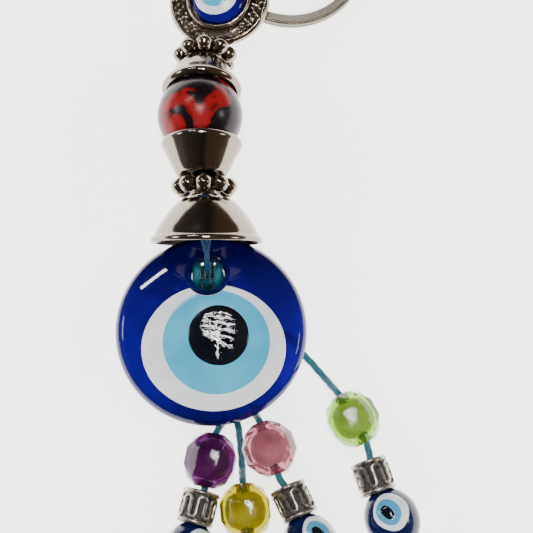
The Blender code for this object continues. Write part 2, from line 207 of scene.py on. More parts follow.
def cobalt_glass():
    """Deep blue glass with seeds in it, with painted shade: darker towards the lower edge and towards the top,
    around the hole.
    """
    made, tree, shader = new_material("cobalt_glass", Transmission_Weight=0.45, IOR=1.46,
                                      Specular_IOR_Level=0.4)
    cloud = noise_texture(tree, 90, 2, 0.5)
    seeds = noise_texture(tree, 2400, 2, 0.5)
    body = ramp(tree, cloud, [(0.3, (0.006, 0.0, 0.11)), (0.7, (0.013, 0.0, 0.27))])
    # painted shade: the colour is darkened towards the lower edge and towards the top of the disc, around the
    # hole
    shade = ramp(tree, along_y(tree, -18, 18),
                 [(0.0, (0.3, 0.22, 0.4)), (0.15, (0.6, 0.5, 0.65)), (0.3, grey(1)), (0.6, grey(0.85)),
                  (0.85, (0.13, 0.13, 0.22))])
    dark = ramp(tree, seeds, [(0.24, (0.35, 0.35, 0.45)), (0.30, (1, 1, 1))])
    tree.links.new(multiply(tree, multiply(tree, body, shade), dark), shader.inputs["Base Color"])
    tree.links.new(ramp(tree, seeds, [(0.25, grey(0.12)), (0.35, grey(0.03))]), shader.inputs["Roughness"])
    bump(tree, shader, noise_texture(tree, 300, 2), 0.05, 0.1)
    return made


def layer_glass(name, dark, pale, speck, ripple=(260, 0.05, 0.08), rough=(0.22, 0.12)):
    """Opaque poured glass with faint clouds, sparse dark specks and small surface ripples.

    ripple is the scale, strength and depth of its relief."""
    made, tree, shader = new_material(name, Coat_Weight=0.15, Coat_Roughness=0.03, Subsurface_Weight=0.08,
                                      Subsurface_Scale=0.001, Specular_IOR_Level=0.4)
    cloud = noise_texture(tree, 130, 3, 0.5, 0.4)
    dust = noise_texture(tree, 1900, 2, 0.4)
    clouds = ramp(tree, cloud, [(0.3, dark), (0.7, pale)])
    specks = ramp(tree, dust, [(0.17, grey(speck)), (0.20, grey(1))])
    roughness = ramp(tree, dust, [(0.2, grey(rough[0])), (0.6, grey(rough[1]))])
    tree.links.new(multiply(tree, clouds, specks), shader.inputs["Base Color"])
    tree.links.new(roughness, shader.inputs["Roughness"])
    bump(tree, shader, noise_texture(tree, ripple[0], 2), ripple[1], ripple[2])
    return made


def antique_silver():
    """Silver with black left in its recesses."""
    made, tree, shader = new_material("antique_silver", Metallic=1.0)
    patina = noise_texture(tree, 1300, 4)
    tree.links.new(ramp(tree, patina, [(0.34, (0.12, 0.11, 0.097)), (0.50, (0.46, 0.425, 0.38))]),
                   shader.inputs["Base Color"])
    tree.links.new(ramp(tree, patina, [(0.3, grey(0.42)), (0.7, grey(0.25))]), shader.inputs["Roughness"])
    bump(tree, shader, noise_texture(tree, 2800, 3), 0.2, 0.04)
    return made


MATERIALS = {
    "steel": polished("polished_metal", (0.21, 0.182, 0.145), (0.29, 0.255, 0.205), (0.11, 0.14)),
    "spacer": polished("spacer_metal", (0.20, 0.165, 0.125), (0.33, 0.285, 0.225), (0.10, 0.16)),
    "pendant": polished("pendant_metal", (0.22, 0.19, 0.145), (0.38, 0.335, 0.265), (0.13, 0.2)),
    "ring": polished("ring_steel", (0.16, 0.145, 0.12), (0.26, 0.235, 0.20), (0.3, 0.38)),
    # a lighter, warmer tone for the outer strip of the split ring's face
    "ring_edge": polished("ring_warm_edge", (0.22, 0.17, 0.11), (0.36, 0.29, 0.20), (0.16, 0.26)),
    "silver": antique_silver(),
    "black_recess": grained("black_patina", (0.008, 0.008, 0.009), (0.05, 0.047, 0.045), 1500, (0.7, 0.4),
                            (0.3, 0.05), Specular_IOR_Level=0.2),
    "cobalt": cobalt_glass(),
    "white": layer_glass("white_glass", (0.56, 0.59, 0.62), (0.74, 0.75, 0.77), 0.4),
    "light_blue": layer_glass("light_blue_glass", (0.035, 0.30, 0.48), (0.06, 0.39, 0.57), 0.4),
    "black": layer_glass("black_glass", (0.002, 0.003, 0.006), (0.007, 0.007, 0.012), 0.5,
                         (1300, 0.35, 0.035), (0.03, 0.02)),
    "navy": layer_glass("painted_navy", (0.001, 0.003, 0.022), (0.003, 0.007, 0.055), 0.5),
    "spot_blue": layer_glass("painted_light_blue", (0.045, 0.22, 0.40), (0.07, 0.29, 0.50), 0.4),
    "red": red_marble(),
    "blue_cord": waxed_cord("blue_thread", (0.002, 0.022, 0.075), (0.012, 0.075, 0.17)),
    "teal_cord": waxed_cord("teal_waxed_cord", (0.001, 0.045, 0.07), (0.006, 0.155, 0.20)),
    "violet": clear_acrylic("violet_acrylic", (0.12, 0.008, 0.12), (0.06, 0.004, 0.065), 0.72),
    "yellow": clear_acrylic("yellow_acrylic", (0.56, 0.47, 0.015), (0.38, 0.32, 0.005), 0.9),
    "pink": clear_acrylic("pink_acrylic", (0.66, 0.25, 0.31), (0.48, 0.13, 0.18), 0.9),
    "green": clear_acrylic("green_acrylic", (0.36, 0.62, 0.08), (0.22, 0.45, 0.03), 0.9),
    "milky": grained("milky_core", (0.42, 0.40, 0.38), (0.60, 0.57, 0.54), 500, (0.5, 0.35),
                     Subsurface_Weight=0.15, Subsurface_Scale=0.001),
    "violet_milky": grained("violet_milky_core", (0.06, 0.012, 0.07), (0.13, 0.035, 0.14), 500, (0.5, 0.35)),
}


# ---- making pieces ----

def arc(middle, radii, start, end, steps):
    turns = [math.radians(start + (end - start) * i / steps) for i in range(steps + 1)]
    return [(middle[0] + radii[0] * math.cos(t), middle[1] + radii[1] * math.sin(t)) for t in turns]


def smooth_route(points, spacing):
    route = [Vector(p) for p in points]
    route = [2 * route[0] - route[1], *route, 2 * route[-1] - route[-2]]
    found = []
    for a, b, c, d in zip(route, route[1:], route[2:], route[3:]):
        steps = max(1, round((c - b).length / spacing))
        for i in range(steps):
            t = i / steps
            found.append(0.5 * (2 * b + (c - a) * t + (2 * a - 5 * b + 4 * c - d) * t * t
                                + (3 * b - a - 3 * c + d) * t ** 3))
    found.append(route[-2])
    return found


def rounded(profile, spacing=0.25, closed=False):
    """A smooth profile through the given points."""
    points = [(r, h, 0) for r, h in profile]
    if closed:
        points = [*points, points[0]]
    smooth = smooth_route(points, spacing)
    return [(max(p.x, 0.0), p.y) for p in (smooth[:-1] if closed else smooth)]


def join_rings(bm, rings, loop=False):
    """Faces between neighbouring rings of points; a ring of a single point closes to a tip."""
    for lower, upper in list(zip(rings, rings[1:])) + ([(rings[-1], rings[0])] if loop else []):
        count = max(len(lower), len(upper))
        for i in range(count):
            j = (i + 1) % count
            near = [lower[i % len(lower)], lower[j % len(lower)]]
            far = [upper[j % len(upper)], upper[i % len(upper)]]
            corners = list(dict.fromkeys(near + far))
            if len(corners) > 2:
                bm.faces.new(corners)


def lathe(profile, segments=96, closed=True, outline=None):
    """A profile of (radius, height) turned about Z; outline(turn, radius) scales its reach."""
    bm = bmesh.new()
    rings = []
    for r, h in profile:
        if r < 1e-6:
            rings.append([bm.verts.new((0, 0, h))])
            continue
        turns = [2 * math.pi * i / segments for i in range(segments)]
        reach = [r * (outline(t, r) if outline else 1.0) for t in turns]
        rings.append([bm.verts.new((q * math.cos(t), q * math.sin(t), h)) for q, t in zip(reach, turns)])
    join_rings(bm, rings, closed)
    return bm


def sweep(points, section, loop=False, up=Vector((0, 0, 1))):
    """A skin along a path; section(i, distance) gives the (sideways, upward) offsets of one ring."""
    bm = bmesh.new()
    rings = []
    count = len(points)
    normal = up
    travelled = 0.0
    for i, point in enumerate(points):
        before = points[(i - 1) % count if loop else max(i - 1, 0)]
        after = points[(i + 1) % count if loop else min(i + 1, count - 1)]
        along = (after - before).normalized()
        normal = (normal - along * normal.dot(along)).normalized()
        side = along.cross(normal)
        if i:
            travelled += (point - points[i - 1]).length
        rings.append([bm.verts.new(point + side * u + normal * v) for u, v in section(i, travelled)])
    join_rings(bm, rings, loop)
    if not loop:
        bm.faces.new(rings[0])
        bm.faces.new(rings[-1])
    return bm


def circle(radius, sides):
    return [(radius * math.cos(2 * math.pi * k / sides), radius * math.sin(2 * math.pi * k / sides))
            for k in range(sides)]


def twisted(radius, sides=18, lobes=3, depth=0.13, pitch=2.4):
    """The section of a cord laid up of a few strands."""
    def section(_, distance):
        shape = []
        for k in range(sides):
            turn = 2 * math.pi * k / sides
            laid = lobes * turn - 2 * math.pi * distance / pitch
            reach = radius * (1 - depth * 0.5 + depth * 0.5 * math.cos(laid))
            shape.append((reach * math.cos(turn), reach * math.sin(turn)))
        return shape
    return section


def put(name, parts, where, body, nodes, sharp=35):
    """One piece out of (bmesh in mm, material) parts, placed, riding on a body, standing for CAD nodes.

    A piece with no body is a cord that is left attached to no body."""
    mesh = bpy.data.meshes.new(name)
    whole = bmesh.new()
    for index, (bm, material) in enumerate(parts):
        bmesh.ops.recalc_face_normals(bm, faces=bm.faces)
        for face in bm.faces:
            face.material_index = index
        part = bpy.data.meshes.new("part")
        bm.to_mesh(part)
        bm.free()
        whole.from_mesh(part)
        bpy.data.meshes.remove(part)
        mesh.materials.append(MATERIALS[material])
    bmesh.ops.scale(whole, vec=(MM, MM, MM), verts=whole.verts)
    whole.to_mesh(mesh)
    whole.free()
    mesh.shade_smooth()
    mesh.set_sharp_from_angle(angle=math.radians(sharp))
    item = bpy.data.objects.new(name, mesh)
    bpy.context.collection.objects.link(item)
    item.matrix_world = where
    if body:
        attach(item, body)
        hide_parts(*nodes)
    return item


def seat(joint, flip=False):
    """The place of a round piece at rest: on its joint, +Z along the joint's axis."""
    z = Vector(JOINTS[joint]["axis"]).normalized() * (-1 if flip else 1)
    x = Vector((0, 0, 1)).cross(z).normalized()
    turn = Matrix((x, z.cross(x), z)).transposed().to_4x4()
    return Matrix.Translation(Vector(JOINTS[joint]["pos_m"])) @ turn


def carve(bm, tool):
    """Take the shape of tool out of bm."""
    meshes = []
    for one in (bm, tool):
        bmesh.ops.recalc_face_normals(one, faces=one.faces)
        mesh = bpy.data.meshes.new("carve")
        one.to_mesh(mesh)
        one.free()
        meshes.append(mesh)
    items = [bpy.data.objects.new("carve", mesh) for mesh in meshes]
    for item in items:
        bpy.context.collection.objects.link(item)
    step = items[0].modifiers.new("carve", "BOOLEAN")
    step.operation = "DIFFERENCE"
    step.object = items[1]
    step.solver = "EXACT"
    bpy.context.view_layer.update()
    result = bpy.data.meshes.new_from_object(items[0].evaluated_get(bpy.context.evaluated_depsgraph_get()))
    made = bmesh.new()
    made.from_mesh(result)
    for item in items:
        bpy.data.objects.remove(item)
    for mesh in (*meshes, result):
        bpy.data.meshes.remove(mesh)
    return made


def rod(radius, half, segments=20):
    return lathe([(0, -half), (radius, -half), (radius, half), (0, half)], segments, closed=False)


# ---- tassel cords ----

CORD_R, CORD_LOW, BEAD_Z = 0.7, 0.78, 5.1
BEAD_R, BEAD_HALF, CORE_R = 4.85, 5.1, 2.75
TUBE_R, TUBE_HALF = 3.35, 3.1
EYE_R, EYE_HALF = 5.0, 5.8
KNOT_R = 1.25
TASSELS = {
    "violet": [(-3.1, 9.4), (-1.9, 2.2), (0.4, -7.0), (2.0, -13.2), (2.2, -16.3)],
    "yellow": [(-1.4, 8.8), (0.2, 1.2), (2.7, -8.0), (4.4, -14.5), (5.2, -18.5), (5.6, -22.5), (5.8, -25.2)],
    "pink": [(0.3, 8.8), (2.1, 1.8), (5.2, -7.2), (7.3, -12.8), (8.1, -14.9)],
    "green": [(2.0, 9.4), (6.8, 4.9), (13.5, -0.6), (17.5, -4.1), (20.6, -7.6)],
}


def joint_place(joint):
    """A joint's place in millimetres from the disc, and its axis."""
    entry = JOINTS[joint]
    return (Vector(entry["pos_m"]) - DISC) / MM, Vector(entry["axis"]).normalized()


def knot_bm(radius):
    """A small overhand knot drawn tight: a trefoil of cord."""
    points = []
    for i in range(60):
        t = 2 * math.pi * i / 60
        points.append(Vector((math.sin(t) + 2 * math.sin(2 * t), math.cos(t) - 2 * math.cos(2 * t),
                              -math.sin(3 * t) * 1.1)) * radius * 0.245)
    return sweep(points, lambda *_: circle(radius * 0.34, 12), loop=True)


def make_strand(name, laid):
    """The waxed cord of one strand, from the hole of the disc to its end knot."""
    bead, way = joint_place(name + "_bead_spin")
    tube, _ = joint_place(name + "_tube_spin")
    eye, eye_way = joint_place(name + "_eye_spin")
    knot = eye + (EYE_HALF + 0.3 + KNOT_R) * eye_way
    entry = bead - BEAD_HALF * way
    start = [Vector((x, y, CORD_LOW)) for x, y in laid]
    start[-1].z += 0.15
    climb = start[-1].lerp(entry, 0.5)
    climb.z = CORD_LOW + 0.45 * (BEAD_Z - CORD_LOW)
    hinge = bead + (BEAD_HALF + 0.3) * way
    route = [*start, climb, entry + 0.6 * way, bead, hinge, tube, eye, knot - KNOT_R * eye_way]
    points = smooth_route(route, 0.3)
    strand = put(name + "_waxed_cord", [(sweep(points, twisted(CORD_R)), "teal_cord")],
                 Matrix.Translation(DISC), None, ())
    mesh = strand.data
    mesh.transform(strand.matrix_world)
    strand.matrix_world = Matrix.Identity(4)
    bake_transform(strand)
    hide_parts(name + "_cord", name + "_tip_cord")
    end = put(name + "_knot", [(knot_bm(KNOT_R), "teal_cord")],
              Matrix.Translation(at(*knot)) @ eye_way.to_track_quat("Z", "Y").to_matrix().to_4x4(),
              name + "_tip", [name + "_end_knot"])
    length = sum((b - a).length for a, b in zip(points, points[1:])) * MM
    return strand, end, [at(*p) for p in points], length


def faceted_bead():
    """Bands of large facets, softened along their edges."""
    bm = bmesh.new()
    for z, r, shift in ((1.55, 4.88, 0.0), (3.75, 3.6, 0.5), (4.95, 1.9, 0.0)):
        for sign in (-1, 1):
            for i in range(8):
                t = 2 * math.pi * (i + shift) / 8
                bm.verts.new((r * math.cos(t), r * math.sin(t), sign * z))
    bmesh.ops.convex_hull(bm, input=bm.verts)
    bmesh.ops.dissolve_limit(bm, angle_limit=math.radians(3), verts=bm.verts, edges=bm.edges)
    bmesh.ops.bevel(bm, geom=list(bm.edges), offset=0.16, segments=2, affect="EDGES", profile=0.6)
    return carve(bm, rod(1.0, 9))


def bead_core():
    edge = math.degrees(math.acos(0.95 / CORE_R))
    return lathe(arc((0, 0), (CORE_R, CORE_R), -edge, edge, 24), 48)


def tube_shell():
    """The tube's wall with a raised band at each end, faced at one end and open at the other."""
    outer = rounded([(1.25, -2.95), (1.6, -3.1), (TUBE_R - 0.35, -3.1), (TUBE_R, -2.9),
                     (TUBE_R + 0.02, -2.55), (TUBE_R - 0.12, -2.3), (2.95, -2.2)], 0.12)
    outer += [(2.93, -2.1), (2.93, 2.1)]
    outer += rounded([(2.95, 2.2), (TUBE_R - 0.12, 2.3), (TUBE_R + 0.02, 2.55), (TUBE_R, 2.9),
                      (TUBE_R - 0.25, 3.1), (2.85, 3.02), (2.75, 2.8)], 0.12)
    return lathe(outer + [(2.72, -2.1), (2.6, -2.3), (1.2, -2.35)], 64)


def tube_recess():
    """The blackened ground between the waves."""
    return lathe([(2.9, -2.25), (2.98, -2.1), (2.98, 2.1), (2.9, 2.25)], 64)


def meander():
    """The wave that runs round the tube in relief."""
    points = []
    waves, steps = 7, 12
    for i in range(waves * 4 * steps):
        t = i / (4 * steps)
        phase = (t % 1.0) * 4
        side = 0.235
        if phase < 1:
            turn, z = -side, -1.15 + 2.3 * phase
        elif phase < 2:
            a = math.pi * (phase - 1)
            turn, z = -side * math.cos(a), 1.15 + 0.72 * math.sin(a)
        elif phase < 3:
            turn, z = side, 1.15 - 2.3 * (phase - 2)
        else:
            a = math.pi * (phase - 3)
            turn, z = 0.5 - (0.5 - side) * math.cos(a), -1.15 - 0.72 * math.sin(a)
        angle = 2 * math.pi * (math.floor(t) + turn) / waves
        points.append(Vector((3.08 * math.cos(angle), 3.08 * math.sin(angle), z)))
    shape = [(-0.36, -0.2), (-0.34, 0.08), (-0.24, 0.24), (0, 0.3), (0.24, 0.24), (0.34, 0.08), (0.36, -0.2)]
    bm = bmesh.new()
    rings = []
    count = len(points)
    for i, point in enumerate(points):
        along = (points[(i + 1) % count] - points[i - 1]).normalized()
        out = Vector((point.x, point.y, 0)).normalized()
        side = along.cross(out).normalized()
        rings.append([bm.verts.new(point + side * u + out * v) for u, v in shape])
    join_rings(bm, rings, loop=True)
    return bm


def on_bead(direction, half_angles, proud, shape=2.0, lean=0.0):
    """A painted spot on an eye bead: a low lens following the bead's surface."""
    middle = direction.normalized()
    across = Vector((0, 0, 1)).cross(middle).normalized()
    other = middle.cross(across)
    bm = bmesh.new()
    rings = [[bm.verts.new(skin(middle, proud))]]
    for step in range(1, 9):
        share = min(step / 7, 1.0)
        lift = proud * math.sqrt(1 - share ** 6) if step < 8 else -0.25
        ring = []
        for k in range(48):
            t = 2 * math.pi * k / 48
            c, s = math.cos(t), math.sin(t)
            reach = (abs(c) ** shape + abs(s) ** shape) ** (-1 / shape)
            a = half_angles[0] * reach * c * share
            b = half_angles[1] * reach * s * share
            a, b = a * math.cos(lean) - b * math.sin(lean), a * math.sin(lean) + b * math.cos(lean)
            way = (middle + across * math.tan(a) + other * math.tan(b)).normalized()
            ring.append(bm.verts.new(skin(way, lift)))
        rings.append(ring)
    join_rings(bm, rings)
    bm.faces.new(rings[-1])
    return bm


def skin(direction, lift):
    """The point of an eye bead's surface in a direction from its middle."""
    level = (direction.x ** 2 + direction.y ** 2) / EYE_R ** 2
    return direction * (1 / math.sqrt(level + direction.z ** 2 / EYE_HALF ** 2) + lift)


def eye_bead_parts(turn):
    edge = math.degrees(math.acos(0.98 / EYE_R))
    parts = [(lathe(arc((0, 0), (EYE_R, EYE_HALF), -edge, edge, 40), 72), "navy")]
    for i in range(3):
        way = math.radians(turn + 120 * i)
        middle = Vector((math.cos(way), math.sin(way), -0.28))
        shift = Vector((-math.sin(way), math.cos(way), 0)) * 0.05
        parts += [(on_bead(middle, (0.70, 0.74), 0.05, 2.2), "white"),
                  (on_bead(middle + shift * 2, (0.47, 0.56), 0.11, 2.0, 0.3), "spot_blue"),
                  (on_bead(middle + shift * 3, (0.20, 0.31), 0.17, 2.6, 0.4), "black")]
    return parts


cords = {tassel: make_strand(tassel, laid_route) for tassel, laid_route in TASSELS.items()}

EYE_TURN = {"violet": 60, "yellow": 80, "pink": 60, "green": 90}
for tassel in TASSELS:
    random.seed(len(tassel) * 7)
    place = seat(tassel + "_bead_spin") @ Matrix.Rotation(random.uniform(0, 0.7), 4, "Z")
    milk = "violet_milky" if tassel == "violet" else "milky"
    shell = put(tassel + "_faceted_bead", [(faceted_bead(), tassel)], place, tassel + "_bead",
                [tassel + "_bead_shell"], sharp=12)
    core = put(tassel + "_core", [(bead_core(), milk)], place, tassel + "_bead", [tassel + "_bead_core"])
    tube_parts = [(tube_shell(), "silver"), (meander(), "silver"), (tube_recess(), "black_recess")]
    tube_item = put(tassel + "_tube", tube_parts, seat(tassel + "_tube_spin"), tassel + "_tube",
                    [tassel + "_tube_bead"])
    eye_item = put(tassel + "_eye", eye_bead_parts(EYE_TURN[tassel]), seat(tassel + "_eye_spin"),
                   tassel + "_eye", [tassel + "_eye_bead"])


# ---- glass disc ----

DISC_R, DISC_BACK, DISC_EDGE, DISC_TOP, DISC_FLAT_R = 17.8, 1.8, 5.2, 9.7, 13.0
HOLE = (-0.7, 10.7)
EDGE_AT = 16.3
EDGE_Z = DISC_EDGE + 2.2 * math.sin(math.radians(60))


def dome(r):
    return DISC_TOP - (DISC_TOP - EDGE_Z) * (r / EDGE_AT) ** 2


def hole_tool(grow):
    funnel = [(0, -3), (3.1, -3), (3.1, 4.8), (3.35, 6.4), (3.9, 7.8), (4.4, 8.7), (4.9, 9.5), (5.2, 13),
              (0, 13)]
    tool = lathe([(r + grow * (r > 0), h) for r, h in funnel], 72, closed=False)
    bmesh.ops.translate(tool, vec=(*HOLE, 0), verts=tool.verts)
    return tool


def disc_bm():
    front = [(EDGE_AT * i / 24, dome(EDGE_AT * i / 24)) for i in range(25)]
    shoulder = rounded([(EDGE_AT, EDGE_Z), (17.25, 6.35), (DISC_R, 5.2)], 0.3)[1:]
    back = arc((DISC_FLAT_R, DISC_EDGE), (DISC_R - DISC_FLAT_R, DISC_EDGE - DISC_BACK), 0, -90, 16)[1:]
    return carve(lathe([*front, *shoulder, *back, (0, DISC_BACK)], 144, closed=False), hole_tool(0))


def layer_bm(x, y, half_width, half_height, proud, seed, grow):
    """A poured layer of the eye: its outline wanders a little and its edge is drawn down into the glass."""
    bm = bmesh.new()
    rings = []
    steps, sides = 22, 120
    for step in range(steps + 2):
        share = min(step / steps, 1.0)
        ring = []
        for k in range(sides if step else 1):
            t = 2 * math.pi * k / sides
            wander = 1 + 0.009 * noise.noise(Vector((1.3 * math.cos(t), 1.3 * math.sin(t), seed)))
            px = x + half_width * share * wander * math.cos(t)
            py = y + half_height * share * wander * math.sin(t)
            edge = math.sqrt(max(0.0, 1 - share ** 14))
            lift = proud * edge - 0.03 if step <= steps else -1.2
            ring.append(bm.verts.new((px, py, dome(math.hypot(px, py)) + lift)))
        rings.append(ring)
    join_rings(bm, rings)
    bm.faces.new(rings[-1])
    return carve(bm, hole_tool(grow))


level = Matrix.Translation(DISC)
put("blue_glass_disc", [(disc_bm(), "cobalt")], level, "glass_eye", ["glass_disc"])
put("white_layer", [(layer_bm(0.6, -3.7, 13.55, 11.85, 0.10, 1.0, 0.05), "white")], level, "glass_eye",
    ["eye_white"])
put("light_blue_layer", [(layer_bm(1.1, -2.8, 10.15, 9.85, 0.22, 2.0, 0.1), "light_blue")], level,
    "glass_eye", ["eye_light_blue"])
put("pupil", [(layer_bm(1.5, -1.6, 5.75, 5.75, 0.42, 3.0, 0.1), "black")], level, "glass_eye",
    ["eye_pupil"])


def bundle(points, threads, spread, radius, pitch, flat=0.5):
    """Thin threads that run side by side and cross over each other."""
    made = []
    count = len(points)
    for n in range(threads):
        shifted = []
        normal = Vector((0, 0, 1))
        travelled = 0.0
        for i, point in enumerate(points):
            along = (points[min(i + 1, count - 1)] - points[max(i - 1, 0)]).normalized()
            normal = (normal - along * normal.dot(along)).normalized()
            side = along.cross(normal)
            if i:
                travelled += (point - points[i - 1]).length
            turn = 2 * math.pi * (n / threads + travelled / pitch)
            reach = spread(i / (count - 1))
            shifted.append(point + side * reach * math.cos(turn) + normal * reach * flat * math.sin(turn))
        made.append(sweep(shifted, twisted(radius, 10, 2, 0.2, 0.9)))
    return made


x0, y0 = HOLE
front_run = [(-0.95, 17.8, 10.1), (-0.9, 15.8, 9.9), (-0.8, 14.0, 9.6), (x0, 12.6, 8.9), (x0, 11.7, 7.6)]
back_run = [(x0, 10.9, 5.4), (x0, 11.1, 3.0), (x0, 12.2, 1.3), (x0, 13.8, 0.9), (-0.75, 15.4, 1.15),
            (-0.8, 16.7, 1.8), (-0.8, 18.1, 3.0), (-0.85, 19.5, 5.4), (-0.9, 20.3, 7.6), (-0.9, 20.5, 8.5)]
loop_bundle = bundle(smooth_route(front_run + back_run, 0.25), 7,
                     lambda s: 0.26 + 0.84 * max(0.0, 1 - s / 0.16), 0.25, 13.0)
put("hanging_loop_threads", [(bm, "blue_cord") for bm in loop_bundle], level, "rod", ["hanging_loop"])


def fold_threads(side):
    """The threads that fold over on one side of the loop."""
    x = x0 + side * 2.05
    run = [(x, y0 - 1.6, 2.0), (x, y0 - 1.9, 4.2), (x, y0 - 0.8, 6.4), (x, y0 + 1.0, 5.9), (x, y0 + 1.8, 3.0)]
    return bundle(smooth_route(run, 0.25), 11, lambda s: 0.56, 0.26, 9.0, 1.5)


def nest_threads():
    """The threads that fill the hole behind the loop, clear of the loop's and the strands' swings."""
    turns = [math.radians(-210 + 4 * i) for i in range(61)]
    ring = [Vector((x0 + 2.3 * math.cos(t), y0 + 2.3 * math.sin(t), 2.8)) for t in turns]
    middle = [(x0, y0 - 2.5, 1.9), (x0, y0 - 2.1, 3.4), (x0, y0 - 1.7, 4.6), (x0, y0 - 1.4, 5.4)]
    made = bundle(ring, 8, lambda s: 0.5, 0.26, 6.0, 0.7)
    made += bundle(smooth_route(middle, 0.25), 8, lambda s: 0.6, 0.3, 7.0)
    for row in range(15):
        ahead = 0.42 * row - 2.5
        under_disc = ahead > 0
        height = 0.27 if under_disc else 1.9
        half = min(2.0 if under_disc else 3.0, math.sqrt(max(1.0, 9.0 - ahead ** 2)))
        across = [Vector((x0 + half * (i / 8 - 1), y0 + ahead, height)) for i in range(17)]
        made.append(sweep(across, twisted(0.24, 10, 2, 0.2, 0.9)))
    return made


for fold, threads in (("tassel_fold_left", fold_threads(-1) + nest_threads()),
                      ("tassel_fold_right", fold_threads(1))):
    put(fold + "_threads", [(bm, "teal_cord") for bm in threads], level, "glass_eye", [fold])


# ---- rod ----

def bell_bm():
    outer = rounded([(9.75, -0.06), (10.1, -0.05), (10.35, 0.2), (10.38, 0.6), (10.2, 1.0), (9.75, 1.45),
                     (8.7, 3.4), (7.3, 5.4), (5.8, 7.1), (5.0, 7.8), (4.45, 8.2)], 0.2)
    inner = rounded([(4.2, 7.6), (5.1, 6.9), (6.6, 5.2), (8.1, 2.9), (9.3, 0.9), (9.6, 0.2)], 0.3)
    return lathe([*outer, (1.3, 8.2), (1.3, 7.6), *inner], 144)


def cone_bm(height):
    outer = rounded([(4.1, -height), (4.4, -height + 0.1), (4.75, -height + 0.5), (5.4, -height * 0.75),
                     (6.4, -height * 0.42), (7.2, -1.15), (7.42, -0.75), (7.56, -0.35), (7.5, 0.05),
                     (7.3, 0.35), (7.0, 0.62), (6.78, 0.66), (6.66, 0.45), (6.7, 0.0)], 0.18)
    inner = [(6.75, -0.6), (4.1, -height + 0.8), (3.6, -height + 0.6), (1.3, -height + 0.6), (1.3, -height)]
    return lathe([*outer, *inner], 128)


def spacer_parts():
    sleeve = rounded([(1.35, -1.62), (2.2, -1.68), (2.6, -1.5), (2.8, -0.9), (3.6, -0.55), (4.2, -0.5),
                      (4.2, 0.5), (3.6, 0.55), (2.8, 0.9), (2.6, 1.5), (2.2, 1.68), (1.35, 1.62)], 0.2)
    parts = [(lathe(sleeve, 64), "spacer")]
    for i in range(9):
        turn = 2 * math.pi * (i + 0.25) / 9
        ball = lathe(rounded([(0.001, 1.53), (0.62, 1.4), (1.18, 0.95), (1.5, 0.3), (1.54, 0.0), (1.5, -0.3),
                              (1.18, -0.95), (0.62, -1.4), (0.001, -1.53)], 0.2), 32, closed=False)
        bmesh.ops.scale(ball, vec=(1.04, 1.04, 1.04), verts=ball.verts)
        bmesh.ops.translate(ball, vec=(4.6 * math.cos(turn), 4.6 * math.sin(turn), 0), verts=ball.verts)
        parts.append((ball, "spacer"))
    return parts


def red_bm():
    edge = math.degrees(math.acos(1.5 / 8))
    return lathe(arc((0, 0), (8.0, 8.0), -edge, edge, 60) + [(1.3, 7.7), (1.3, -7.7)], 112)


put("bell", [(bell_bm(), "steel")], seat("bell_spin"), "bell", ["bell_cap"], sharp=50)
put("lower_daisy", spacer_parts(), seat("low_spacer_spin"), "low_spacer", ["lower_spacer"])
put("lower_cone", [(cone_bm(6.55), "steel")], seat("cone_spin"), "cone", ["cone_cap"],
    sharp=50)
put("red_marbled_bead", [(red_bm(), "red")], seat("red_spin"), "red", ["red_bead"])
put("upper_cone", [(cone_bm(5.9), "steel")], seat("cap_spin", flip=True), "cap", ["upper_cap"],
    sharp=50)
put("upper_daisy", spacer_parts(), seat("high_spacer_spin"), "high_spacer", ["upper_spacer"])

string_run = [(-0.85, 22.6, 11.35), (-0.9, 23.6, 11.65), (-1.2, 25.9, 11.3), (-1.6, 28.6, 11.1),
              (-1.9, 32.6, 11.3), (-2.2, 40.1, 9.95), (-2.05, 47.6, 8.2), (-1.85, 50.6, 7.1),
              (-1.5, 53.1, 6.25), (-1.45, 53.9, 6.0)]
put("stringing_cord_twisted", [(sweep(smooth_route(string_run, 0.3), twisted(0.7)), "blue_cord")], level,
    "rod", ["stringing_cord"])
put("knot_in_bell", [(knot_bm(1.6), "blue_cord")],
    Matrix.Translation(at(-0.9, 20.6, 10.7)) @ Matrix.Rotation(math.radians(90), 4, "X"), "rod", ["rod_knot"])


# ---- pendant and rings ----

eye_low, eye_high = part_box("pendant_eye")
pendant_turn = Matrix.Rotation(math.radians(-3), 4, "X") @ Matrix.Rotation(math.radians(-8), 4, "Y")
pendant_base = Matrix.Translation((0, 0, -1.9 * MM))
pendant_place = Matrix.Translation((eye_low + eye_high) / 2) @ pendant_turn @ pendant_base
SCOOP = math.radians(30)  # half the sweep of the smooth part on the rod's side


def blunt(turn, radius):
    down = max(0.0, -math.sin(turn))
    return 1.0 - 0.04 * down ** 6 * (radius > 7.4)


def pendant_bm():
    profile = rounded([(8.0, -1.2), (9.5, -0.4), (9.8, 0.15), (9.65, 0.75), (9.25, 1.15), (8.85, 1.05),
                       (8.6, 0.7), (7.6, 0.45), (6.9, 0.5), (6.5, 0.9), (6.3, 1.7), (6.05, 1.95),
                       (5.75, 1.95), (5.5, 1.7), (5.4, 1.2), (5.4, 0.3)], 0.16)
    return lathe([(0, -1.2), *profile, (0, 0.3)], 144, closed=False, outline=blunt)


